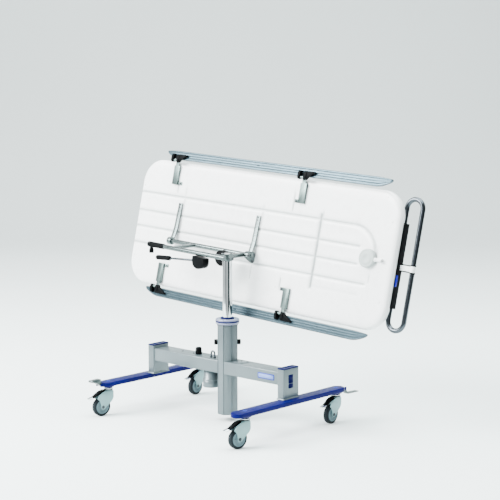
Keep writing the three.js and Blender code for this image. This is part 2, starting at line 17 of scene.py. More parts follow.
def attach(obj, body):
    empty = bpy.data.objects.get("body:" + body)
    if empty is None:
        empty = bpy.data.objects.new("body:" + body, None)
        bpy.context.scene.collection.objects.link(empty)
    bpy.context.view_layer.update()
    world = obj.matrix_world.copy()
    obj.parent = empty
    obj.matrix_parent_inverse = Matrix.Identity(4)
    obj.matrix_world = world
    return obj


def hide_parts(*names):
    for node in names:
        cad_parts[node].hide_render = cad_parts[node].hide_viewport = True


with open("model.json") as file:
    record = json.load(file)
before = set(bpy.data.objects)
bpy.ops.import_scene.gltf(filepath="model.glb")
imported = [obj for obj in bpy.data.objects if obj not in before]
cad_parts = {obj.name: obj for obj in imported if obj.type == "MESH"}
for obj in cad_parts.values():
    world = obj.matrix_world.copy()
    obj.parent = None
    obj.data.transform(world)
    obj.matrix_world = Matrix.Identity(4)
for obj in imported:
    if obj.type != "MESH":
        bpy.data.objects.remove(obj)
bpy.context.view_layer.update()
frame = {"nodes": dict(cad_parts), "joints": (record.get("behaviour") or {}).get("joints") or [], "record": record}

MM = 0.001
UP = Vector((0, 0, 1))
joints = {joint["name"]: joint for joint in frame["joints"]}
mounts = {mount["name"]: mount for mount in frame["record"]["mounts"]}
CASTORS = ("front_left", "rear_left", "front_right", "rear_right")


# ---- Local frames ----

def basis(origin, x, y, z):
    """Matrix from local millimetres to the row frame in metres."""
    turn = Matrix((x, y, z)).transposed().to_4x4()
    return Matrix.Translation(origin) @ turn @ Matrix.Scale(MM, 4)


pivot = Vector(joints["tray_pitch"]["pos_m"])
hinge = Vector(joints["tray_flip"]["pos_m"])
along = Vector(joints["tray_flip"]["axis"]).normalized()
tray_up = Vector(mounts["tray_floor"]["axis"]).normalized()

BASE = basis(Vector((pivot.x, pivot.y, 0)), Vector((1, 0, 0)), Vector((0, 1, 0)), UP)
TILT = basis(pivot, along, Vector((0, 1, 0)), along.cross(Vector((0, 1, 0))))
TRAY = basis(hinge, along, tray_up.cross(along), tray_up)


def castor_frame(place):
    """The swivel axis on the floor, with X along the axle and the wheel trailing towards -Y."""
    stem = Vector(joints["castor_swivel_" + place]["pos_m"])
    axle = Vector(joints["wheel_spin_" + place]["axis"]).normalized()
    return basis(Vector((stem.x, stem.y, 0)), axle, UP.cross(axle), UP)


Extent = namedtuple("Extent", "low high middle half size")


def span(node, place):
    """Corners, middle, half size and size of a CAD node in a local frame, in millimetres."""
    inverse = place.inverted()
    points = [inverse @ vertex.co for vertex in frame["nodes"][node].data.vertices]
    low = Vector([min(point[i] for point in points) for i in range(3)])
    high = Vector([max(point[i] for point in points) for i in range(3)])
    return Extent(low, high, (low + high) / 2, (high - low) / 2, high - low)


# ---- Materials ----

class Nodes:
    """A small helper that makes and links shader nodes."""

    def __init__(self, name):
        self.material = bpy.data.materials.new(name)
        self.material.use_nodes = True
        self.tree = self.material.node_tree
        self.shader = self.tree.nodes["Principled BSDF"]

    def add(self, kind, inputs=(), **settings):
        node = self.tree.nodes.new(kind)
        for key, value in settings.items():
            setattr(node, key, value)
        for key, value in dict(inputs).items():
            if isinstance(value, bpy.types.NodeSocket):
                self.tree.links.new(value, node.inputs[key])
            else:
                node.inputs[key].default_value = value
        return node

    def link(self, output, name):
        self.tree.links.new(output, self.shader.inputs[name])

    def set(self, name, value):
        self.shader.inputs[name].default_value = value

    def noise(self, scale, detail=3.0, stretch=(1, 1, 1)):
        place = self.add("ShaderNodeTexCoord").outputs["Object"]
        mapped = self.add("ShaderNodeMapping", {"Vector": place, "Scale": stretch})
        node = self.add("ShaderNodeTexNoise", {"Vector": mapped.outputs["Vector"], "Scale": scale,
                                               "Detail": detail})
        return node.outputs["Fac"]

    def ramp(self, value, low, high, start=0.3, end=0.7):
        node = self.add("ShaderNodeValToRGB", {"Fac": value})
        node.color_ramp.elements[0].position = start
        node.color_ramp.elements[0].color = (*low, 1)
        node.color_ramp.elements[1].position = end
        node.color_ramp.elements[1].color = (*high, 1)
        return node.outputs["Color"]

    def between(self, value, low, high):
        node = self.add("ShaderNodeMapRange", {"Value": value, "From Min": 0.3, "From Max": 0.7,
                                               "To Min": low, "To Max": high})
        return node.outputs["Result"]

    def bump(self, height, strength, distance):
        node = self.add("ShaderNodeBump", {"Height": height, "Strength": strength,
                                           "Distance": distance})
        self.link(node.outputs["Normal"], "Normal")


def scaled(colour, factor):
    return tuple(min(1, channel * factor) for channel in colour)


def painted(name, colour, roughness, coat, metallic=0.0, variation=0.06, gloss=0.4):
    """Sprayed paint: faint cloudiness, orange peel and a clear coat."""
    nodes = Nodes(name)
    cloud = nodes.noise(9, 4)
    nodes.link(nodes.ramp(cloud, scaled(colour, 1 - variation), scaled(colour, 1 + variation)),
               "Base Color")
    nodes.link(nodes.between(nodes.noise(60, 5), roughness * 0.85, roughness * 1.2), "Roughness")
    nodes.set("Metallic", metallic)
    nodes.set("Specular IOR Level", gloss)
    nodes.set("Coat Weight", coat)
    nodes.set("Coat Roughness", 0.08)
    nodes.bump(nodes.noise(650, 2), 0.06, 0.0004)
    return nodes.material


def brushed(name, colour, roughness, stretch, lines=420, depth=0.05):
    """Ground or drawn metal, with fine lines along one direction."""
    nodes = Nodes(name)
    grain = nodes.noise(lines, 3, stretch)
    smear = nodes.noise(14, 4)
    nodes.link(nodes.ramp(smear, scaled(colour, 0.9), scaled(colour, 1.06)), "Base Color")
    nodes.link(nodes.between(grain, roughness * 0.75, roughness * 1.3), "Roughness")
    nodes.set("Metallic", 1.0)
    nodes.bump(grain, depth, 0.0003)
    return nodes.material


def moulded(name, colour, roughness, grain=900, depth=0.12, gloss=0.15, variation=0.05):
    """Moulded plastic or rubber with a fine grain."""
    nodes = Nodes(name)
    nodes.link(nodes.ramp(nodes.noise(12, 4), scaled(colour, 1 - variation),
                          scaled(colour, 1 + variation)), "Base Color")
    nodes.link(nodes.between(nodes.noise(80, 4), roughness * 0.88, roughness * 1.15), "Roughness")
    nodes.set("Specular IOR Level", gloss)
    nodes.bump(nodes.noise(grain, 2), depth, 0.0004)
    return nodes.material


def tray_plastic():
    """Glossy thermoformed sheet: near-white and slowly rippled, with painted shade greying it in the underside's
    grooves.
    """
    nodes = Nodes("tray_white")
    groove_shade = nodes.add("ShaderNodeAttribute", attribute_name="groove_shade").outputs["Fac"]
    cloud = nodes.ramp(nodes.noise(2.2, 3), (0.90, 0.915, 0.915), (0.94, 0.95, 0.95))
    groove_shade_grey = nodes.ramp(nodes.noise(16, 3), (0.29, 0.33, 0.33), (0.39, 0.43, 0.43))
    # Painted shade: the per-vertex groove depth mixes the white towards a darker grey.
    mix = nodes.add("ShaderNodeMix", {"Factor": groove_shade}, data_type="RGBA")
    nodes.tree.links.new(cloud, mix.inputs[6])
    nodes.tree.links.new(groove_shade_grey, mix.inputs[7])
    nodes.link(mix.outputs[2], "Base Color")
    nodes.link(nodes.between(nodes.noise(25, 4), 0.24, 0.34), "Roughness")
    nodes.set("Subsurface Weight", 0.08)
    nodes.set("Subsurface Radius", (0.01, 0.01, 0.01))
    nodes.set("Coat Weight", 0.15)
    nodes.set("Coat Roughness", 0.1)
    nodes.bump(nodes.noise(7, 2), 0.12, 0.004)
    return nodes.material


ALONG_X = (0.04, 1, 1)                   # stretches a metal's grain
ALONG_Z = (1, 1, 0.04)
grey_paint = painted("base_grey_paint", (0.095, 0.125, 0.135), 0.38, 0.3, metallic=0.35)
flange_paint = painted("flange_grey_paint", (0.15, 0.165, 0.25), 0.34, 0.4, metallic=0.3)
blue_paint = painted("foot_blue_paint", (0.0002, 0.0005, 0.065), 0.36, 0.0, variation=0.25, gloss=0.06)
blue_plastic = moulded("cap_blue_plastic", (0.001, 0.002, 0.04), 0.38, gloss=0.06)
label_blue = moulded("label_blue", (0.012, 0.03, 0.26), 0.4, grain=300)
label_pale = moulded("label_pale", (0.16, 0.23, 0.52), 0.4, grain=300)
sticker_blue = moulded("sticker_blue", (0.006, 0.006, 0.30), 0.4, grain=300)
chrome = brushed("rod_chrome", (0.56, 0.60, 0.61), 0.07, ALONG_Z, depth=0.01)
stainless = brushed("stainless_steel", (0.085, 0.108, 0.108), 0.26, ALONG_X)
steel_plate = brushed("bracket_steel", (0.105, 0.145, 0.14), 0.34, ALONG_Z)
handle_steel = brushed("handle_steel", (0.06, 0.07, 0.08), 0.2, ALONG_Z)
dark_steel = brushed("dark_bolt_steel", (0.05, 0.055, 0.06), 0.35, (1, 1, 1))
aluminium = brushed("rail_aluminium", (0.058, 0.09, 0.108), 0.32, ALONG_X)
tray_white = tray_plastic()
grey_plastic = moulded("drain_grey_plastic", (0.40, 0.45, 0.44), 0.45)
white_plastic = moulded("spout_white_plastic", (0.88, 0.90, 0.90), 0.3)
black_plastic = moulded("black_plastic", (0.002, 0.0025, 0.003), 0.5, gloss=0.03)
black_grip = moulded("grip_black_rubber", (0.004, 0.0045, 0.005), 0.62, grain=500, depth=0.3, gloss=0.03)
castor_shell = painted("castor_pale_casting", (0.16, 0.28, 0.29), 0.34, 0.2, metallic=0.25, variation=0.12)
castor_tyre = moulded("castor_tyre_rubber", (0.006, 0.010, 0.013), 0.68, grain=400, depth=0.3)
castor_hub = moulded("castor_hub_plastic", (0.095, 0.15, 0.17), 0.42, grain=500, variation=0.2)


# ---- Mesh helpers. Every builder adds to a bmesh in local millimetres. ----

def add_box(bm, low, high):
    corners = [bm.verts.new((x, y, z)) for x in (low[0], high[0]) for y in (low[1], high[1])
               for z in (low[2], high[2])]
    for face in ((0, 1, 3, 2), (4, 6, 7, 5), (0, 4, 5, 1), (2, 3, 7, 6), (0, 2, 6, 4), (1, 5, 7, 3)):
        bm.faces.new([corners[i] for i in face])


def add_loft(bm, rings, closed=False, caps=True):
    """Skins rings of points, each with as many points as the next."""
    rows = [[bm.verts.new(point) for point in ring] for ring in rings]
    count = len(rows[0])
    pairs = list(zip(rows, rows[1:] + rows[:1])) if closed else list(zip(rows, rows[1:]))
    for one, other in pairs:
        for i in range(count):
            j = (i + 1) % count
            bm.faces.new((one[i], one[j], other[j], other[i]))
    if caps and not closed:
        bm.faces.new(rows[0][::-1])
        bm.faces.new(rows[-1])


def add_prism(bm, outline, low, high, axis="x"):
    """Extrudes an outline along an axis. Outline points are the other two coordinates in XYZ order."""
    def point(u, v, w):
        return {"x": (w, u, v), "y": (u, w, v), "z": (u, v, w)}[axis]
    add_loft(bm, [[point(u, v, w) for u, v in outline] for w in (low, high)])


def circle(radius, steps):
    return [(radius * math.cos(math.tau * i / steps), radius * math.sin(math.tau * i / steps))
            for i in range(steps)]


def rectangle(u0, v0, u1, v1):
    return [(u0, v0), (u1, v0), (u1, v1), (u0, v1)]


def add_lathe(bm, centre, axis, profile, steps=40, closed=False):
    """Turns a profile of (radius, height) points about an axis; a closed profile makes a ring."""
    axis = Vector(axis).normalized()
    side = axis.orthogonal().normalized()
    other = axis.cross(side)
    centre = Vector(centre)
    rings = [[centre + axis * height + side * u + other * v
              for u, v in circle(max(radius, 0.01), steps)] for radius, height in profile]
    add_loft(bm, rings, closed)


def rod_profile(radius, low, high, edge):
    """A rod's lathe profile with rounded edges."""
    bend = [(radius - edge + edge * math.sin(a), edge - edge * math.cos(a))
            for a in (0, math.pi / 8, math.pi / 4, math.pi * 3 / 8, math.pi / 2)]
    return [(r, low + h) for r, h in bend] + [(r, high - h) for r, h in reversed(bend)]


def add_bolt(bm, centre, axis, radius, height):
    """A domed bolt head with a hexagonal recess, standing on its axis."""
    profile = [(radius * 1.35, 0), (radius * 1.35, height * 0.2), (radius, height * 0.22),
               (radius, height * 0.75), (radius * 0.8, height), (radius * 0.45, height),
               (radius * 0.42, height * 0.55), (0, height * 0.5)]
    add_lathe(bm, centre, axis, profile, 20)


def rounded(points, radius, steps=5):
    """Rounds every corner of a closed outline with an arc-like curve."""
    result = []
    count = len(points)
    for i, point in enumerate(points):
        here = Vector(point)
        before = Vector(points[i - 1]) - here
        after = Vector(points[(i + 1) % count]) - here
        reach = min(radius, before.length * 0.45, after.length * 0.45)
        start = here + before.normalized() * reach
        end = here + after.normalized() * reach
        for k in range(steps + 1):
            t = k / steps
            result.append(tuple(start * (1 - t) ** 2 + here * 2 * t * (1 - t) + end * t * t))
    return result


def add_tube(bm, path, radius, steps, closed=False):
    """A round tube through points, with each ring square to the path."""
    count = len(path)
    rings = []
    side = None
    for i, point in enumerate(path):
        after = path[(i + 1) % count] if closed or i < count - 1 else point
        before = path[i - 1] if closed or i > 0 else point
        tangent = (after - before).normalized()
        if side is None:
            side = tangent.orthogonal().normalized()
        side = (side - tangent * side.dot(tangent)).normalized()
        other = tangent.cross(side)
        rings.append([point + side * u + other * v for u, v in circle(radius, steps)])
    add_loft(bm, rings, closed=closed)


def skin(bm, one, other):
    """Joins two closed rows of vertices that may share some at the corners."""
    for i in range(len(one)):
        j = (i + 1) % len(one)
        if len({one[i], one[j], other[j], other[i]}) == 4:
            bm.faces.new((one[i], one[j], other[j], other[i]))


def finish_piece(name, bm, place, body, material, replaces=(), bevel=0.0, smooth=40):
    """Turns a bmesh into a placed piece that rides on a body."""
    bmesh.ops.remove_doubles(bm, verts=bm.verts, dist=1e-4)
    bmesh.ops.recalc_face_normals(bm, faces=bm.faces)
    mesh = bpy.data.meshes.new(name)
    bm.to_mesh(mesh)
    bm.free()
    mesh.transform(place)
    piece = bpy.data.objects.new(name, mesh)
    bpy.context.scene.collection.objects.link(piece)
    mesh.materials.append(material)
    soften(piece, bevel, smooth)
    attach(piece, body)
    if replaces:
        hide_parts(*replaces)


def soften(piece, bevel, smooth):
    """Rounds sharp edges by a bevel in millimetres and shades the rest smooth."""
    for polygon in piece.data.polygons:
        polygon.use_smooth = True
    if bevel:
        modifier = piece.modifiers.new("rounded_edges", "BEVEL")
        modifier.width = bevel * MM
        modifier.segments = 3
        modifier.limit_method = "ANGLE"
        modifier.angle_limit = math.radians(35)
        modifier.harden_normals = False
    with bpy.context.temp_override(object=piece, active_object=piece, selected_objects=[piece],
                                   selected_editable_objects=[piece]):
        bpy.ops.object.shade_auto_smooth(angle=math.radians(smooth))


def turn_piece(name, centre, axis, profile, steps, place, body, material, replaces=(),
               closed=False):
    """A piece that is one turned solid."""
    bm = bmesh.new()
    add_lathe(bm, centre, axis, profile, steps, closed)
    finish_piece(name, bm, place, body, material, replaces)


def dress(node, material, bevel):
    """Gives a CAD node that keeps its own shape a material and rounded edges."""
    piece = frame["nodes"][node]
    piece.data.materials.clear()
    piece.data.materials.append(material)
    weld = piece.modifiers.new("joined_corners", "WELD")
    weld.merge_threshold = 0.02 * MM
    soften(piece, bevel, 32)


# ---- Camera, light and floor ----

VIEW_AZIMUTH = math.radians(42.6)        # the camera's, round from straight in front


def add_camera():
    target = Vector((pivot.x + 0.0759, pivot.y + 0.0906, 0.895))
    elevation, distance = math.radians(7.39), 7.612
    back = Vector((math.sin(VIEW_AZIMUTH) * math.cos(elevation),
                   -math.cos(VIEW_AZIMUTH) * math.cos(elevation), math.sin(elevation)))
    data = bpy.data.cameras.new("camera")
    data.lens = 105.9
    data.sensor_width = 36
    camera = bpy.data.objects.new("camera", data)
    camera.location = target + back * distance
    camera.rotation_euler = back.to_track_quat("Z", "Y").to_euler()
    bpy.context.scene.collection.objects.link(camera)
    bpy.context.scene.camera = camera


def add_area(name, location, target, size, power, colour=(1, 1, 1)):
    data = bpy.data.lights.new(name, "AREA")
    data.shape = "RECTANGLE"
    data.size, data.size_y = size
    data.energy = power
    data.color = colour
    light = bpy.data.objects.new(name, data)
    light.location = location
    light.rotation_euler = (Vector(location) - Vector(target)).to_track_quat("Z", "Y").to_euler()
    bpy.context.scene.collection.objects.link(light)


def add_world():
    """A pale surround with two darker vertical bands, so that bright metal has something to show."""
    world = bpy.data.worlds.new("studio")
    world.use_nodes = True
    bpy.context.scene.world = world
    tree = world.node_tree
    background = tree.nodes["Background"]
    coordinate = tree.nodes.new("ShaderNodeTexCoord")
    gradient = tree.nodes.new("ShaderNodeTexGradient")
    gradient.gradient_type = "RADIAL"
    ramp = tree.nodes.new("ShaderNodeValToRGB")
    tree.links.new(coordinate.outputs["Generated"], gradient.inputs["Vector"])
    tree.links.new(gradient.outputs["Fac"], ramp.inputs["Fac"])
    tree.links.new(ramp.outputs["Color"], background.inputs["Color"])
    pale, dark = (0.90, 0.95, 0.96, 1), (0.04, 0.05, 0.055, 1)
    # Places are fractions of a full turn round the trolley.
    stops = ((0.0, pale), (0.235, pale), (0.255, dark), (0.29, dark), (0.31, pale), (0.39, pale),
             (0.415, dark), (0.55, dark), (0.60, pale), (1.0, pale))
    elements = ramp.color_ramp.elements
    for position, colour in stops[1:-1]:
        elements.new(position).color = colour
    elements[0].color = stops[0][1]
    elements[-1].color = stops[-1][1]
    background.inputs["Strength"].default_value = 1.38


def add_floor():
    """A pale sweep: flat under the trolley, curving up into a wall on the far side from the camera."""
    flat, bend, height, width, steps = 7.5, 3.5, 10.0, 8.6, 12
    profile = [(reach, 0) for reach in (-2.7, -1.4, 0.0, flat)]
    profile += [(flat + bend * math.sin(a), bend - bend * math.cos(a))
                for a in (math.pi / 2 * k / steps for k in range(1, steps + 1))]
    profile += [(flat + bend, height)]
    away = Vector((-math.sin(VIEW_AZIMUTH), math.cos(VIEW_AZIMUTH), 0))
    side = away.cross(UP)
    bm = bmesh.new()
    rows = [[bm.verts.new(away * reach + side * width * (k / steps - 0.5) + UP * z)
             for k in range(steps + 1)] for reach, z in profile]
    for one, other in zip(rows, rows[1:]):
        for k in range(steps):
            bm.faces.new((one[k], one[k + 1], other[k + 1], other[k]))
    bmesh.ops.recalc_face_normals(bm, faces=bm.faces)
    mesh = bpy.data.meshes.new("studio_floor")
    bm.to_mesh(mesh)
    bm.free()
    for polygon in mesh.polygons:
        polygon.use_smooth = True
    floor = bpy.data.objects.new("studio_floor", mesh)
    nodes = Nodes("studio_floor")
    nodes.link(nodes.ramp(nodes.noise(0.5, 2), (0.82, 0.885, 0.88), (0.84, 0.905, 0.90)),
               "Base Color")
    nodes.set("Roughness", 0.9)
    nodes.set("Specular IOR Level", 0.1)
    mesh.materials.append(nodes.material)
    bpy.context.scene.collection.objects.link(floor)


# ---- Base ----

def make_base():
    dress("column", grey_paint, 1.0)
    dress("foot_left", blue_paint, 4.0)
    dress("foot_right", blue_paint, 4.0)
    for side in ("left", "right"):
        dress("post_" + side, grey_paint, 1.2)
        dress("cross_beam_" + side, grey_paint, 1.2)
        dress("foot_pedal_" + side, stainless, 1.5)
        make_post_cap(side)
        make_foot_fittings(side)
        make_guide_knob(side)
    make_flange()
    make_pump()
    make_labels()
    make_beam_plates()


def make_post_cap(side):
    """A lid with a raised rim and a long recess in its top."""
    name = "post_cap_" + side
    box = span(name, BASE)
    bm = bmesh.new()
    rings = []
    for inset, rise in ((0, -5), (0, -1.5), (1.5, 0), (9, 0), (10.5, -2.5), (12, -2.5)):
        corners = rectangle(inset - box.half.x, inset - box.half.y, box.half.x - inset, box.half.y - inset)
        outline = rounded(corners, max(7 - inset / 3, 2))
        rings.append([(box.middle.x + u, box.middle.y + v, box.high.z + rise) for u, v in outline])
    add_loft(bm, rings)
    finish_piece(name + "_lid", bm, BASE, "base", blue_plastic, (name,))


def make_foot_fittings(side):
    """Bolts in the top of a foot, over its castors, and the weld plinth round its post."""
    top = span("foot_" + side, BASE).high.z
    bolts = bmesh.new()
    for place in CASTORS:
        if place.endswith(side):
            stem = BASE.inverted() @ Vector(joints["castor_swivel_" + place]["pos_m"])
            add_lathe(bolts, (stem.x, stem.y, top - 1.2), UP,
                      [(11, 0), (11, 1.4), (9, 2.2), (4.5, 2.2), (4, 0.8), (0, 0.6)], 24)
    finish_piece("foot_bolts_" + side, bolts, BASE, "base", label_blue)
    box = span("post_" + side, BASE)
    plinth = bmesh.new()
    rings = []
    for spread, rise in ((4, -0.5), (4, 3), (-1, 8)):
        corners = rectangle(box.low.x - spread, box.low.y - spread, box.high.x + spread, box.high.y + spread)
        rings.append([(*point, top + rise) for point in rounded(corners, 6)])
    add_loft(plinth, rings)
    finish_piece("post_weld_" + side, plinth, BASE, "base", grey_paint)


def make_guide_knob(side):
    """A clamp knob for the column's guide, standing out from one of its diagonal faces."""
    name = "guide_knob_" + side
    box = span(name, BASE)
    axis = Vector((1, 1, 0)).normalized() * (-1 if side == "left" else 1)
    inverse = BASE.inverted()
    reach = [(inverse @ vertex.co).dot(axis) for vertex in frame["nodes"][name].data.vertices]
    start, length, radius = min(reach), max(reach) - min(reach), box.half.z
    profile = [(radius * 0.9, 0), (radius * 1.1, 2), (radius * 1.15, 6), (radius * 1.1, length - 6),
               (radius * 0.95, length - 3), (radius * 0.6, length - 2), (0, length - 2)]
    turn_piece(name + "_grip", axis * start + UP * box.middle.z, axis, profile, 28,
               BASE, "base", black_plastic, (name,))


def make_flange():
    """The column head: a ring with a blue line, its screws, and the wiper seal round the rod."""
    box = span("column_flange", BASE)
    radius, height = box.half.x, box.size.z
    bore = 26.5                          # just clear of the rod
    foot = (0, 0, box.low.z)
    profile = [(bore, 0), (radius - 5, 0), (radius - 1, 2), (radius, 4), (radius, height - 5),
               (radius - 1, height - 2), (radius - 4, height), (bore, height)]
    turn_piece("column_head", foot, UP, profile, 64,
               BASE, "base", flange_paint, ("column_flange",), closed=True)
    profile = [(radius - 2, 11), (radius + 0.5, 11.5), (radius + 0.5, 18.5), (radius - 2, 19)]
    turn_piece("column_head_line", foot, UP, profile, 64,
               BASE, "base", blue_plastic, closed=True)
    screws = bmesh.new()
    count, pitch_radius = 8, 55
    for i in range(count):
        angle = math.tau * (i + 0.5) / count
        spot = (pitch_radius * math.cos(angle), pitch_radius * math.sin(angle), box.low.z)
        add_lathe(screws, spot, -UP, rod_profile(3.6, -1, 5.5, 1), 14)
    finish_piece("column_head_screws", screws, BASE, "base", dark_steel)
    box = span("rod_seal", BASE)
    top = 8.2
    profile = [(bore, 0), (35.5, 0), (36, 1.2), (35, 4), (33.5, 5), (33, 7), (30.5, top), (bore, top)]
    profile = [(r, z * box.size.z / top) for r, z in profile]
    turn_piece("rod_wiper", (0, 0, box.low.z), UP, profile, 64,
               BASE, "base", blue_plastic, ("rod_seal",), closed=True)


def make_pump():
    """The reservoir below the beam, with a band round it, the hose loop and the valve knob on top."""
    box = span("pump_reservoir", BASE)
    radius, height = box.half.x, box.size.z
    step = 42
    profile = [(0, 3), (radius - 10, 3), (radius - 8, 0), (radius - 3, 0), (radius, 3),
               (radius, step - 6), (radius - 1.5, step - 5), (radius - 1.5, step - 3), (radius, step - 2),
               (radius, step), (radius - 5, step + 3), (radius - 5, height), (0, height)]
    turn_piece("pump_tank", (box.middle.x, box.middle.y, box.low.z), UP, profile, 56,
               BASE, "base", grey_paint, ("pump_reservoir",))

    box = span("pump_fitting", BASE)
    radius = box.half.y
    bend = box.half.x - radius
    crest = box.high.z - radius - bend
    turns = [math.pi * k / 10 for k in range(11)]
    path = [(-bend, box.low.z), (-bend, (crest + box.low.z) / 2)]
    path += [(-bend * math.cos(a), crest + bend * math.sin(a)) for a in turns]
    path += [(bend, (crest + box.low.z) / 2), (bend, box.low.z)]
    loop = bmesh.new()
    add_tube(loop, [Vector((box.middle.x + x, box.middle.y, z)) for x, z in path], radius, 16)
    for x in (box.middle.x - bend, box.middle.x + bend):
        add_lathe(loop, (x, box.middle.y, box.low.z), UP, rod_profile(radius + 2.5, 0, 9, 1), 6)
    finish_piece("pump_hose_loop", loop, BASE, "base", handle_steel, ("pump_fitting",))

    box = span("pump_valve_knob", BASE)
    height = box.size.z
    knob = bmesh.new()
    rings = []
    for scale, z in ((0.8, 0), (0.98, 2), (1.0, 6), (0.92, height - 7), (0.82, height - 2),
                     (0.68, height), (0.2, height)):
        ring = []
        for k in range(60):
            angle = math.tau * k / 60
            flute = 0.07 * max(0, math.cos(angle * 10)) if 2 < z < height - 1 else 0
            r = box.half.x * scale * (1 - flute)
            ring.append(Vector((box.middle.x, box.middle.y, box.low.z))
                        + Vector((r * math.cos(angle), r * math.sin(angle), z)))
        rings.append(ring)
    add_loft(knob, rings)
    finish_piece("pump_knob_grip", knob, BASE, "base", black_plastic,
                 ("pump_valve_knob",))


def make_labels():
    """Blank generic plates: one on the right beam's front and one on the right post's outer face."""
    box = span("cross_beam_right", BASE)
    left, right, half_height = box.high.x - 136, box.high.x - 24, 15
    for name, inset, proud, material in (("beam_plate", 0, 0.0, label_blue),
                                         ("beam_plate_field", 5, 0.4, label_pale)):
        bm = bmesh.new()
        corners = rectangle(left + inset, box.middle.z - half_height + inset,
                            right - inset, box.middle.z + half_height - inset)
        add_prism(bm, rounded(corners, 7), box.low.y - 0.8 - proud, box.low.y + 0.5, "y")
        finish_piece(name, bm, BASE, "base", material)
    box = span("post_right", BASE)
    y, half_width = box.middle.y - 5, 17
    for name, bottom, top in (("post_plate_upper", 262, 306), ("post_plate_lower", 238, 260)):
        bm = bmesh.new()
        corners = rectangle(y - half_width, bottom, y + half_width, top)
        add_prism(bm, rounded(corners, 4), box.high.x - 0.5, box.high.x + 1, "x")
        finish_piece(name, bm, BASE, "base", blue_plastic)


def make_beam_plates():
    """Two bolts on top of the beam's left half, and a screwed cover on its right half."""
    top = span("cross_beam_left", BASE).high.z
    bolts = bmesh.new()
    for x in (-248, -330):
        add_bolt(bolts, (x, 0, top), UP, 4, 3)
    finish_piece("beam_bolts_left", bolts, BASE, "base", dark_steel)
    top = span("cross_beam_right", BASE).high.z
    inner, outer, half_width, edge, proud = 72, 128, 30, 8, 1.5
    cover = bmesh.new()
    add_box(cover, (inner, -half_width, top - 1), (outer, half_width, top + proud))
    for x in (inner + edge, outer - edge):
        for y in (edge - half_width, half_width - edge):
            add_bolt(cover, (x, y, top + proud), UP, 3.2, 2.4)
    finish_piece("beam_cover_right", cover, BASE, "base", grey_paint, bevel=0.6)


# ---- Castors ----

def make_castor(place):
    """Tyre, hub, fork shell, bearing, axle bolts and brake pedal of one castor."""
    local = castor_frame(place)
    box = span("castor_wheel_" + place, local)
    axle = Vector((0, box.middle.y, box.middle.z))
    radius, side = axle.z, box.half.x
    across = (1, 0, 0)
    wheel, castor, brake = "wheel_" + place, "castor_" + place, "brake_" + place

    profile = [(37, -side + 1), (40, -side + 0.5), (44, -side + 1), (48.5, -side + 4), (radius, -8),
               (radius, 8), (48.5, side - 4), (44, side - 1), (40, side - 0.5), (37, side - 1)]
    turn_piece("castor_tyre_" + place, axle, across, profile, 72,
               local, wheel, castor_tyre, ("castor_wheel_" + place,), closed=True)
    hub = bmesh.new()
    profile = [(7, -side - 0.2), (12, -side - 0.2), (13, -side + 3), (27, -side + 4), (30, -side + 1),
               (35, -side + 0.4), (38.5, -side + 2), (38.5, side - 2), (35, side - 0.4), (30, side - 1),
               (27, side - 4), (13, side - 3), (12, side + 0.2), (7, side + 0.2)]
    add_lathe(hub, axle, across, profile, 56, closed=True)
    studs, stud_circle = 6, 20
    for direction in (-1, 1):
        for k in range(studs):
            angle = math.tau * k / studs
            spot = axle + Vector((direction * (side - 4.5), stud_circle * math.cos(angle),
                                  stud_circle * math.sin(angle)))
            add_lathe(hub, spot, (direction, 0, 0), rod_profile(3.2, 0, 3.2, 0.8), 12)
    finish_piece("castor_hub_" + place, hub, local, wheel, castor_hub)

    fork = span("castor_fork_" + place, local)
    crown, outer, sheet = 137, fork.high.x, 4
    shell = bmesh.new()
    cheek = [(20, crown - 6), (14, crown), (-20, crown), (-38, crown - 5), (-56, crown - 15),
             (-70, crown - 28), (-77, crown - 38), (-76, 95), (-66, 88), (-60, 76), (-57, 60),
             (-54, 44), (-48, 38), (-40, 37), (-32, 41), (-22, 52), (-4, 66), (12, 80), (20, 96)]
    cheek = rounded(cheek, 5, 2)
    for inner in (-outer, outer - sheet):
        add_prism(shell, cheek, inner, inner + sheet)
    bridge = [(20, 106), (20, crown - 5), (14, crown - 0.5), (-14, crown - 0.5), (-14, crown - 5),
              (6, crown - 7), (12, 106)]
    add_prism(shell, bridge, -outer + 1, outer - 1)
    finish_piece("castor_shell_" + place, shell, local, castor, castor_shell,
                 ("castor_fork_" + place,), bevel=1.6)

    turn_piece("castor_bearing_ring_" + place, (0, 0, crown - 1), UP,
               [(0, 0), (23.5, 0), (24.5, 1), (24.5, 4), (23, 5), (20, 5.5), (0, 5.5)], 48,
               local, castor, dark_steel)
    top = fork.high.z - crown - 4
    turn_piece("castor_bearing_" + place, (0, 0, crown + 4), UP,
               [(0, 0), (21, 0), (23, 1.5), (23, 5), (21.5, 6.5), (19, 7), (18.5, 8), (18.5, top - 1),
                (17.5, top), (0, top)], 48, local, castor, chrome)
    bolts = bmesh.new()
    for direction in (-1, 1):
        add_bolt(bolts, axle + Vector((direction * outer, 0, 0)), (direction, 0, 0), 6.5, 5)
    finish_piece("castor_axle_bolts_" + place, bolts, local, castor, dark_steel)

    width = span("castor_pedal_" + place, local).high.x - 1
    tread = bmesh.new()
    arch = [(-29, 139), (-38, 138), (-52, 135), (-66, 128), (-80, 118.5), (-90, 111), (-101, 105.5),
            (-108, 103), (-106, 100.5), (-96, 102), (-79, 108), (-64, 116), (-50, 121), (-36, 124),
            (-29, 124)]
    add_prism(tread, rounded(arch, 2.5, 2), -width, width)
    finish_piece("castor_brake_pedal_" + place, tread, local, brake, black_plastic,
                 ("castor_pedal_" + place,), bevel=1.2)
    strip = bmesh.new()
    lip = [(-98, 103.6), (-108, 99.4), (-118, 97.2), (-121.5, 97.4), (-122, 99.4), (-119, 101),
           (-112, 102.4), (-104, 105.2), (-98, 106)]
    add_prism(strip, rounded(lip, 1.2, 2), -width - 0.8, width + 0.8)
    finish_piece("castor_pedal_edge_" + place, strip, local, brake, chrome)


# ---- Lift rod, head and tilt frame ----

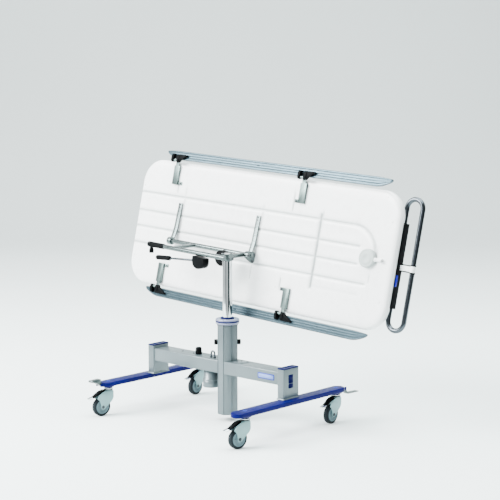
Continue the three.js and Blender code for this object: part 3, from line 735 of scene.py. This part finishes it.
def make_lift():
    """The chrome rod, and the head block at its top with its bolts."""
    box = span("lift_rod", BASE)
    turn_piece("lift_rod_chrome", (0, 0, box.low.z), UP,
               rod_profile(box.half.x, 0, box.size.z, 1.5), 72,
               BASE, "lift", chrome, ("lift_rod",))
    dress("head_block", stainless, 1.5)
    box = span("head_block", BASE)
    bolts = bmesh.new()
    for y in (-13, 13):
        add_bolt(bolts, (box.high.x, y, box.high.z - 26), (1, 0, 0), 4.5, 4)
    for x, y in ((12, -14.3), (40, 14.3)):
        add_bolt(bolts, (box.low.x + x, y, box.high.z), UP, 4, 3.5)
    finish_piece("head_bolts", bolts, BASE, "lift", dark_steel)


def make_tilt_frame():
    """The bars and the pivot tube, each turned about its longer side, and what is on them."""
    for node in ("near_bar", "hinge_bar", "end_crossbar", "pivot_tube"):
        box = span(node, TILT)
        axis = Vector((1, 0, 0)) if box.half.x > box.half.y else Vector((0, 1, 0))
        reach, radius = max(box.half.x, box.half.y), min(box.half.x, box.half.y, box.half.z)
        turn_piece(node + "_tube", box.middle - axis * reach, axis,
                   rod_profile(radius, 0, reach * 2, 1.5), 40,
                   TILT, "tilt_frame", stainless, (node,))
    dress("stop_plate", stainless, 1.0)
    make_stop_bolts()
    make_grips()
    make_housings()


def make_stop_bolts():
    """Three bolts on the stop plate, and the disc that ends the hinge bar."""
    face = span("stop_plate", TILT).high.x
    hinge_y = (TILT.inverted() @ hinge).y
    bm = bmesh.new()
    for y, z in ((hinge_y - 27, 2), (hinge_y + 20, 6), (hinge_y + 6, -30)):
        add_bolt(bm, (face, y, z), (1, 0, 0), 5.5, 5)
    finish_piece("stop_plate_bolts", bm, TILT, "tilt_frame", dark_steel)
    turn_piece("hinge_end_disc", (face, hinge_y, 0), (1, 0, 0), [(12, 0), (12, 3), (9, 5), (0, 5)], 32,
               TILT, "tilt_frame", stainless)


def ribbed_profile(radius, length, ribs):
    """A grip's lathe profile: rounded ends and shallow rings."""
    profile = [(radius * 0.55, 0), (radius * 0.86, 1.5), (radius * 0.98, 5)]
    start, end = 12, length - 12
    for k in range(ribs):
        x = start + (end - start) * k / ribs
        pitch = (end - start) / ribs
        profile += [(radius, x), (radius, x + pitch * 0.55), (radius * 0.93, x + pitch * 0.65),
                    (radius * 0.93, x + pitch * 0.9)]
    return profile + [(radius * 0.98, length - 5), (radius * 0.86, length - 1.5), (radius * 0.55, length)]


def make_grips():
    """The frame's end grip and clamp knob, and the release lever with its grip."""
    box = span("end_grip", TILT)
    turn_piece("end_grip_rubber", (box.low.x, box.middle.y, box.middle.z), (1, 0, 0),
               ribbed_profile(box.half.z, box.size.x, 9), 36,
               TILT, "tilt_frame", black_grip, ("end_grip",))
    box = span("clamp_knob", TILT)
    radius, height = box.half.x, box.size.z
    turn_piece("clamp_knob_grip", (box.middle.x, box.middle.y, box.low.z), UP,
               [(radius * 0.8, 0), (radius, 2), (radius, height * 0.55), (radius * 0.8, height * 0.7),
                (radius * 0.75, height)], 28,
               TILT, "tilt_frame", black_plastic, ("clamp_knob",))

    direction = lever_direction()
    start = Vector(joints["tilt_release_lift"]["pos_m"])
    lever = basis(start, direction, Vector((0, 1, 0)), direction.cross(Vector((0, 1, 0))))
    box = span("release_grip", lever)
    turn_piece("release_grip_rubber", (box.low.x, 0, 0), (1, 0, 0),
               ribbed_profile(box.half.z, box.size.x, 8), 36,
               lever, "tilt_release", black_grip, ("release_grip",))
    box = span("release_lever", lever)
    bm = bmesh.new()
    add_lathe(bm, (box.low.x, 0, 0), (1, 0, 0), rod_profile(6, 0, -box.low.x - 3, 1), 24)
    add_lathe(bm, (0, -7, 0), (0, 1, 0), rod_profile(8, 0, 14, 1), 28)
    finish_piece("release_lever_rod", bm, lever, "tilt_release", handle_steel,
                 ("release_lever",))


def lever_direction():
    """The lever's own X axis, from the middle of its far end to its hinge."""
    start = Vector(joints["tilt_release_lift"]["pos_m"])
    points = [vertex.co for vertex in frame["nodes"]["release_lever"].data.vertices]
    far = min(point.x for point in points)
    end = [point for point in points if point.x < far + 0.001]
    middle = sum(end, Vector()) / len(end)
    return (start - Vector((middle.x, start.y, middle.z))).normalized()


def make_housings():
    """The black shield over the release and the round cover of the tilt gearbox."""
    box = span("release_housing", TILT)
    deep = box.size.z
    outline = [(box.low.x + 1, box.high.z), (box.high.x, box.high.z - deep * 0.12),
               (box.high.x, box.middle.z)]
    outline += [(box.middle.x + box.half.x * 0.98 * math.cos(a), box.middle.z - box.half.z * math.sin(a))
                for a in (math.pi * k / 12 for k in range(1, 12))]
    outline += [(box.low.x, box.high.z - deep * 0.45)]
    shield = bmesh.new()
    add_prism(shield, rounded(outline, 5, 3), box.low.y, box.high.y, "y")
    finish_piece("release_shield", shield, TILT, "tilt_frame", black_plastic,
                 ("release_housing",), bevel=3.5)
    box = span("tilt_gearbox", TILT)
    radius, depth = box.half.z, box.size.y
    turn_piece("tilt_gearbox_cover", (box.middle.x, box.high.y, box.middle.z), (0, -1, 0),
               [(radius * 0.8, 0), (radius, 3), (radius, depth - 12), (radius * 0.92, depth - 5),
                (radius * 0.75, depth - 2), (radius * 0.4, depth - 1.5), (radius * 0.36, depth),
                (0, depth)], 56,
               TILT, "tilt_frame", black_plastic, ("tilt_gearbox",))


# ---- Tray ----

FLUTES = (-157, -54, 35, 128)            # lengthwise grooves in the underside, from its centreline
FLUTE_END = 660                          # where the outer groove starts to turn round the drain
RIB_X = 440                              # the deep cross groove
RIB_REACH = (-182, 196)
DRAIN_X = 775
FINE_X = (RIB_X, 28, 242, 468, 48, -532, -596, 797)  # where the shell's rows of points lie closer
FULL_SHADE_DEPTH = 5.0                          # depth of a groove that takes all of its painted shade
MARKS = (                                # short cross grooves: middle, from, to, half width, depth
    (28, 133, 208, 8, 2.4), (797, 82, 122, 7, 2.4), (244, -253, -170, 8, 4.0), (240, 176, 222, 8, 4.0),
    # The marks at -532 and 48 are painted shadows of the hinge arms: shallow grooves that take the grooves'
    # painted shade.
    (-596, -232, -172, 8, 4.0), (-532, -212, 45, 13, 2.2), (48, -190, -40, 12, 1.8),
    (452, -196, -166, 8, 5.0),
)


def groove(distance, width, depth):
    """Depth of a smooth-sided groove at a distance from its line."""
    if abs(distance) >= width:
        return 0.0
    return depth * 0.5 * (1 + math.cos(math.pi * distance / width))


def underside(x, v):
    """How far in the tray's underside is sunk at a place, in millimetres, apart from its sag."""
    width, depth = 13.0, 4.4
    if x < FLUTE_END:
        total = max(groove(v - flute, width, depth) for flute in FLUTES)
    else:
        turn = math.hypot(x - FLUTE_END, v)
        total = groove(turn - abs(FLUTES[0]), width + 3, depth) if v < 20 else 0.0
        if x < DRAIN_X - 60:
            total = max(total, *(groove(v - flute, width, depth) for flute in FLUTES[1:3]))
        if x < DRAIN_X:
            total = max(total, groove(v - FLUTES[3], width, depth))
    if RIB_REACH[0] < v < RIB_REACH[1]:
        total = max(total, groove(x - RIB_X, 13, 6.0))
    if 452 < x < 745:
        total = max(total, groove(v - 178, 8, 1.6))
    for middle, low, high, reach, deep in MARKS:
        if low < v < high:
            total = max(total, groove(x - middle, reach, deep))
    return total


def sag(x, v):
    """The slight hollow of each lane between two flutes."""
    if not FLUTES[0] < v < FLUTES[3] or x > 715:
        return 0.0
    lane = next(i for i in range(3) if v <= FLUTES[i + 1])
    return 1.4 * math.sin(math.pi * (v - FLUTES[lane]) / (FLUTES[lane + 1] - FLUTES[lane]))


def samples(low, high, step, extra):
    """Evenly spaced values, with closer ones round each extra value."""
    count = round((high - low) / step)
    values = [low + (high - low) * i / count for i in range(count + 1)]
    reach = 9
    for middle in extra:
        values = [value for value in values if abs(value - middle) > reach or value in (low, high)]
        values += [middle + offset for offset in range(-reach, reach + 1, 3)]
    return sorted(values)


def make_tray():
    """The shell is one skin: ribbed underside, rolled rim and well."""
    box = span("tray_shell", TRAY)
    low, high, corner, centre, half_width = box.low, box.high, 130, box.middle.y, box.half.y
    arc = [math.pi / 2 * k / 9 for k in range(10)]
    left = [low.x + corner - corner * math.cos(a) for a in arc]
    right = [high.x - corner + corner * math.cos(a) for a in reversed(arc)]
    main = samples(low.x + corner, high.x - corner, 16, FINE_X)
    xs = left[:-1] + main + right[1:]
    inner = half_width - corner
    vs = samples(-inner, inner, 12, FLUTES)
    outer_rows = (0.34, 0.67, 1.0)       # shares of the way from the inner rows to the edge

    def limit(x):
        """The rim's half width at x."""
        reach = 0.0
        if x < low.x + corner:
            reach = low.x + corner - x
        elif x > high.x - corner:
            reach = x - (high.x - corner)
        return inner + math.sqrt(max(corner ** 2 - reach ** 2, 0))

    def inward(x, v, inset):
        """Moves a point of the full outline's grid in towards the middle by an inset."""
        if x < low.x + corner:
            middle_x = low.x + corner
        elif x > high.x - corner:
            middle_x = high.x - corner
        else:
            middle_x = x
        middle_v = max(-inner, min(inner, v))
        away = Vector((x - middle_x, v - middle_v))
        share = (corner - inset) / corner
        return middle_x + away.x * share, middle_v + away.y * share

    columns = []
    for x in xs:
        edge = limit(x)
        rows = [-inner - (edge - inner) * t for t in reversed(outer_rows)] + vs
        rows += [inner + (edge - inner) * t for t in outer_rows]
        columns.append([(x, v) for v in rows])

    bm = bmesh.new()

    def grid(inset, height):
        cells = []
        for column in columns:
            line = []
            for x, v in column:
                px, pv = inward(x, v, inset)
                line.append(bm.verts.new((px, centre + pv, height(px, pv))))
            cells.append(line)
        for one, other in zip(cells, cells[1:]):
            for k in range(len(one) - 1):
                bm.faces.new((one[k], one[k + 1], other[k + 1], other[k]))
        return cells

    def border(cells):
        last = len(cells[0]) - 1
        edge = [column[0] for column in cells] + cells[-1][1:]
        return edge + [column[last] for column in reversed(cells[:-1])] + cells[0][-2:0:-1]

    floor_z = high.z - 28
    bottom = border(grid(30, lambda x, v: low.z + underside(x, v) + sag(x, v)))
    well = border(grid(56, lambda x, v: floor_z + well_shape(x, v)))
    outline = border([[Vector((x, v, 0)) for x, v in column] for column in columns])
    rim = ((16, low.z + 1.0), (7, low.z + 5), (2, low.z + 12), (0.1, low.z + 22), (0.6, high.z - 10),
           (3, high.z - 4), (8, high.z - 1), (14, high.z), (24, high.z), (31, high.z - 2), (36, high.z - 8),
           (41, high.z - 18), (46, floor_z + 3), (51, floor_z + 0.5))
    previous = bottom
    for inset, z in rim:
        ring = []
        for point in outline:
            px, pv = inward(point.x, point.y, inset)
            ring.append(bm.verts.new((px, centre + pv, z)))
        skin(bm, previous, ring)
        previous = ring
    skin(bm, previous, well)
    # Painted shade: each underside vertex stores how much its groove's depth greys the white.
    groove_shade = bm.verts.layers.float.new("groove_shade")
    for vertex in bm.verts:
        x, y, z = vertex.co
        if z < low.z + 12:
            vertex[groove_shade] = min(1.0, underside(x, y - centre) / FULL_SHADE_DEPTH)
    finish_piece("tray_body", bm, TRAY, "tray", tray_white, ("tray_shell",), smooth=60)


def well_shape(x, v):
    """The well's floor: shallow channels that run to the drain at the push handle's end."""
    fall = -0.0008 * (x + 900)
    channel = 0.0
    for flute in FLUTES:
        if -780 < x < 720:
            channel = max(channel, groove(v - flute, 14, 1.6))
    dish = 6.0 * max(0.0, 1 - math.hypot(x - DRAIN_X, v) / 90)
    return max(-9.0, 1.2 + fall - channel - dish)


def make_tray_fittings():
    """Drain, spout, hinge arm bolts and the screws that show on the tray's underside."""
    box = span("drain_cup", TRAY)
    radius, depth = box.half.x, box.size.z
    profile = [(radius * 0.96, 0), (radius, 2), (radius - 1, depth * 0.75), (radius - 4, depth * 0.93),
               (radius - 9, depth - 0.4), (radius - 12, depth - 1.6), (radius - 14, depth - 1.6),
               (radius - 16, depth - 0.2), (radius * 0.3, depth), (radius * 0.27, depth - 1),
               (0, depth - 1)]
    turn_piece("drain_cup_body", (box.middle.x, box.middle.y, box.high.z), -UP, profile, 64,
               TRAY, "tray", grey_plastic, ("drain_cup",))
    box = span("drain_spout", TRAY)
    pipe, length = box.half.z, box.size.x
    profile = [(0, 0), (pipe, 0), (pipe, 6), (pipe - 1.5, 7), (pipe - 1.5, length - 14),
               (pipe, length - 13), (pipe, length - 1), (pipe - 1, length), (pipe - 3.5, length),
               (pipe - 3.5, length - 20), (0, length - 20)]
    turn_piece("drain_spout_pipe", (box.low.x, box.middle.y, box.middle.z), (1, 0, 0), profile, 32,
               TRAY, "tray", white_plastic, ("drain_spout",))
    box = span("tray_shell", TRAY)
    for name, radius, length, sunk, spots in (
            ("tray_screws", 3.0, 2.6, 2.6, ((-856, -192), (-858, 203), (832, -312), (218, -229),
                                            (213, 226), (-632, 230), (-632, -236))),
            ("tray_handle_screws", 5.5, 4, 4, ((884, -196), (884, 199)))):
        screws = bmesh.new()
        for x, v in spots:
            add_bolt(screws, (x, box.middle.y + v, box.low.z + sunk), -UP, radius, length)
        finish_piece(name, screws, TRAY, "tray", dark_steel)
    for side in ("left", "right"):
        node = "hinge_arm_" + side
        dress(node, stainless, 1.2)
        box = span(node, TRAY)
        bolts = bmesh.new()
        for y in (-188, -203):
            add_bolt(bolts, (box.middle.x, y, box.high.z - 6.2), -UP, 3.6, 3.2)
        finish_piece("hinge_arm_bolts_" + side, bolts, TRAY, "tray", dark_steel)


def make_handle():
    """The bent tube loop, the strap across it, the black mounting strip and a blank blue sticker."""
    box = span("push_handle", TRAY)
    radius = box.half.z
    bend = box.half.x - radius
    reach = box.half.y - radius - bend
    path = []
    for end, start in ((1, 0.0), (-1, math.pi)):
        path += [Vector((box.middle.x + bend * math.cos(start + a),
                         box.middle.y + end * reach + bend * math.sin(start + a), box.middle.z))
                 for a in (math.pi * k / 20 for k in range(21))]
    tube = bmesh.new()
    add_tube(tube, path, radius, 32, closed=True)
    finish_piece("push_handle_tube", tube, TRAY, "tray", handle_steel, ("push_handle",))
    strap = bmesh.new()
    bands = bmesh.new()
    y0 = box.middle.y + 15               # the strap's middle
    for x in (box.middle.x - bend, box.middle.x + bend):
        for bm, low_y, high_y, gap in ((strap, y0 - 15, y0 + 15, 1.0), (bands, y0 - 22, y0 - 15, 1.6),
                                       (bands, y0 + 15, y0 + 22, 1.6)):
            rings = [[(x + u, y, box.middle.z + v) for u, v in circle(r, 28)]
                     for r, y in ((radius, low_y), (radius + gap, low_y), (radius + gap, high_y),
                                  (radius, high_y))]
            add_loft(bm, rings, closed=True)
    inner, outer = box.middle.x - bend + radius * 0.7, box.middle.x + bend - radius * 0.7
    for bm, low_y, high_y, thick in ((strap, -13, 13, 4), (bands, -19, -13, 4.5), (bands, 13, 19, 4.5)):
        add_box(bm, (inner, y0 + low_y, box.middle.z - thick), (outer, y0 + high_y, box.middle.z + thick))
    finish_piece("handle_strap", strap, TRAY, "tray", white_plastic, bevel=0.8)
    finish_piece("handle_strap_bands", bands, TRAY, "tray", black_plastic, bevel=0.6)
    dress("handle_mount", black_plastic, 0.8)
    box = span("handle_mount", TRAY)
    sticker = bmesh.new()
    corners = rectangle(y0 + 40, box.low.z + 1, y0 + 96, box.low.z + 17)
    add_prism(sticker, rounded(corners, 3), box.high.x - 0.5, box.high.x + 0.5)
    finish_piece("handle_sticker", sticker, TRAY, "tray", sticker_blue)


def make_rail(side):
    """A grooved extrusion whose ends narrow to round tips, with its cheeks and bracket hardware."""
    name = "side_rail_" + side
    body = "rail_" + side
    box = span(name, TRAY)
    half_width, half_height = box.half.y, box.half.z
    profile = []
    for sign in (-1, 1):
        profile.append((-sign * half_width, sign * -half_height * 0.5))
        profile.append((-sign * (half_width - 3), sign * -half_height))
        for at, wide, deep in ((-13, 3.5, 3.4), (0, 2.2, 2.2), (13, 3.5, 3.4)):
            at, wide = sign * at, sign * wide
            base = sign * (deep - half_height)
            profile += [(at - wide, sign * -half_height), (at - wide * 0.6, base),
                        (at + wide * 0.6, base), (at + wide, sign * -half_height)]
        profile.append((sign * (half_width - 3), sign * -half_height))
        profile.append((sign * half_width, sign * -half_height * 0.5))
    # Distance from a tip, and the share of the full section there.
    stations = [(0.5, 0.10), (3, 0.22), (9, 0.36), (22, 0.52), (42, 0.72), (66, 0.9), (90, 1.0)]
    bm = bmesh.new()
    rings = [(box.low.x + x, share) for x, share in stations]
    rings += [(box.high.x - x, share) for x, share in reversed(stations)]
    add_loft(bm, [[(x, box.middle.y + (share - 1) * half_width * 0.7 + u * share,
                    box.middle.z + w * min(1, 0.5 + share * 0.5)) for u, w in profile] for x, share in rings])
    finish_piece(name + "_extrusion", bm, TRAY, body, aluminium, (name,), bevel=0.4)
    slot = bmesh.new()
    x = box.middle.x - 95
    add_box(slot, (x - 9, box.middle.y - 3, box.low.z + 0.1), (x + 9, box.middle.y + 3, box.low.z + 3))
    add_box(slot, (x - 9, box.middle.y - 3, box.high.z - 3), (x + 9, box.middle.y + 3, box.high.z - 0.1))
    finish_piece(name + "_slots", slot, TRAY, body, black_plastic, bevel=0.5)
    for end in ("left", "right"):
        make_cheeks(side, end)
        dress(f"rail_bracket_{side}_{end}", steel_plate, 0.8)
        make_bracket_screws(side, end)


def make_cheeks(side, end):
    """Two black cheeks on the bracket's pin; the second runs on under the rail as a catch."""
    node = f"rail_cheeks_{side}_{end}"
    box = span(node, TRAY)
    pin = TRAY.inverted() @ Vector(joints["side_rail_fold_" + side]["pos_m"])
    out = 1 if box.high.y - pin.y > pin.y - box.low.y else -1
    top = span("side_rail_" + side, TRAY).low.z - 0.4
    cheek = [(pin.y - out * 12, 3), (pin.y - out * 9, -5), (pin.y, -9), (pin.y + out * 22, -8),
             (pin.y + out * 34, -3), (pin.y + out * 36, top), (pin.y + out * 3, top), (pin.y + out * 2.5, 17),
             (pin.y - out * 8, 17)]
    bm = bmesh.new()
    start = box.low.x + 39               # of the second cheek
    add_prism(bm, rounded(cheek, 4, 3), box.low.x, box.low.x + 15)
    add_prism(bm, rounded(cheek, 4, 3), start, start + 18)
    wedge = [(start + 2, pin.y - out * 6), (start + 24, pin.y - out * 4), (start + 34, pin.y + out * 8),
             (box.high.x, pin.y + out * 28), (box.high.x, pin.y + out * 35), (start + 2, pin.y + out * 35)]
    add_prism(bm, rounded(wedge, 4, 3), -5, top, "z")
    add_lathe(bm, (box.low.x + 1, pin.y, pin.z), (1, 0, 0), rod_profile(3.4, 0, 54, 0.5), 16)
    finish_piece(f"rail_catch_{side}_{end}", bm, TRAY, frame_body(node), black_plastic,
                 (node,), bevel=1.0)


def frame_body(node):
    """The body that a CAD node belongs to."""
    bodies = frame["record"]["behaviour"]["bodies"]
    return next(name for name, nodes in bodies.items() if node in nodes)


def make_bracket_screws(side, end):
    """The screw that holds a rail bracket to the tray, and the head of its pin."""
    box = span(f"rail_bracket_{side}_{end}", TRAY)
    y = box.high.y - 9 if side == "upper" else box.low.y + 9
    x = box.low.x + 10 if end == "right" else box.high.x - 10
    bm = bmesh.new()
    add_bolt(bm, (x, y, box.high.z - 4), -UP, 4, 3)
    start = span(f"rail_cheeks_{side}_{end}", TRAY).low.x
    pin = TRAY.inverted() @ Vector(joints["side_rail_fold_" + side]["pos_m"])
    add_bolt(bm, (start + 1.0, pin.y, pin.z), (-1, 0, 0), 3.6, 0.9)
    finish_piece(f"rail_bracket_screws_{side}_{end}", bm, TRAY, "tray", dark_steel)


# ---- The scene ----

add_camera()
add_world()
add_floor()
add_area("key", (-3.6, -5.2, 4.6), (0, 0, 0.8), (4.5, 3.5), 2400)
add_area("top", (0.5, 0.5, 6.2), (0, 0, 0), (6, 6), 1600, (0.93, 1.0, 1.0))
make_base()
for place in CASTORS:
    make_castor(place)
make_lift()
make_tilt_frame()
make_tray()
make_tray_fittings()
make_handle()
for side in ("upper", "lower"):
    make_rail(side)

bpy.context.view_layer.update()
